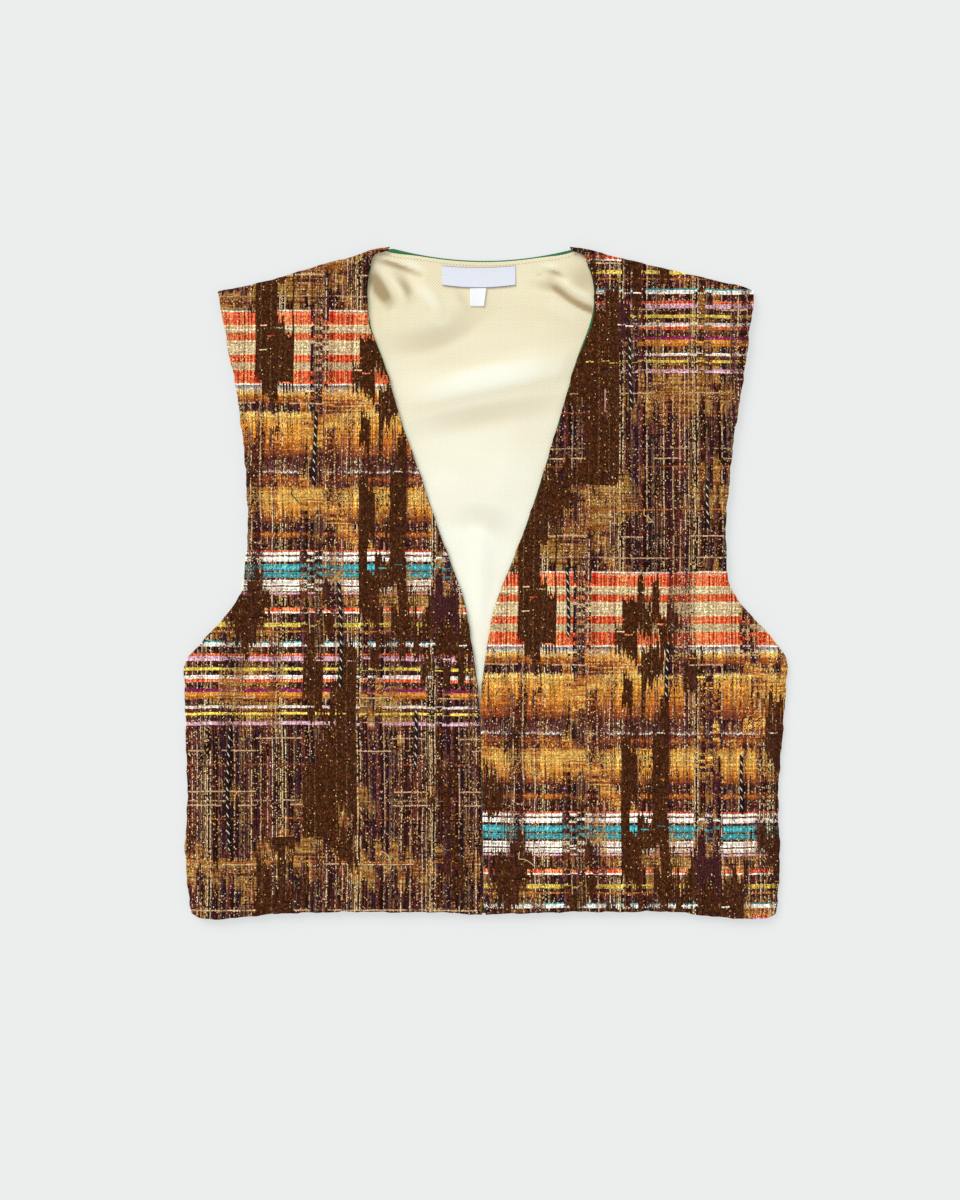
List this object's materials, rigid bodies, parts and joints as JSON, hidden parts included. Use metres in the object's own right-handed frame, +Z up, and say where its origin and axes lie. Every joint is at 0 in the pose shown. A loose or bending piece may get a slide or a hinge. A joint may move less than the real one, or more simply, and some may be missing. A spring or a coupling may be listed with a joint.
{
  "type": "vest",
  "caption": "Cropped sleeveless V-neck vest laid flat, open fronts edge to edge, striped jacquard fronts, plain back, satin back lining and neck label.",
  "frame": {"origin": "on the surface that the vest lies on, below the middle of its width and length", "axes": "+X to the right as seen from above, +Y from the hem to the shoulders, +Z up from the surface"},
  "size_m": [0.5312, 0.5918, 0.0061],
  "materials": {
    "jacquard": "multicolour striped jacquard weave, matt with a faint thread sheen",
    "back_cloth": "plain vivid green satin weave, soft sheen",
    "satin_lining": "cream satin twill, soft sheen",
    "label": "pale woven satin label",
    "tab": "white woven tab"
  },
  "bodies": {
    "root": {"back_shell": "back_cloth", "back_lining": "satin_lining", "front_left": "jacquard", "front_right": "jacquard", "lining_left": "back_cloth", "lining_right": "back_cloth", "neck_label": "label", "size_tab": "tab"}
  },
  "joints": []
}
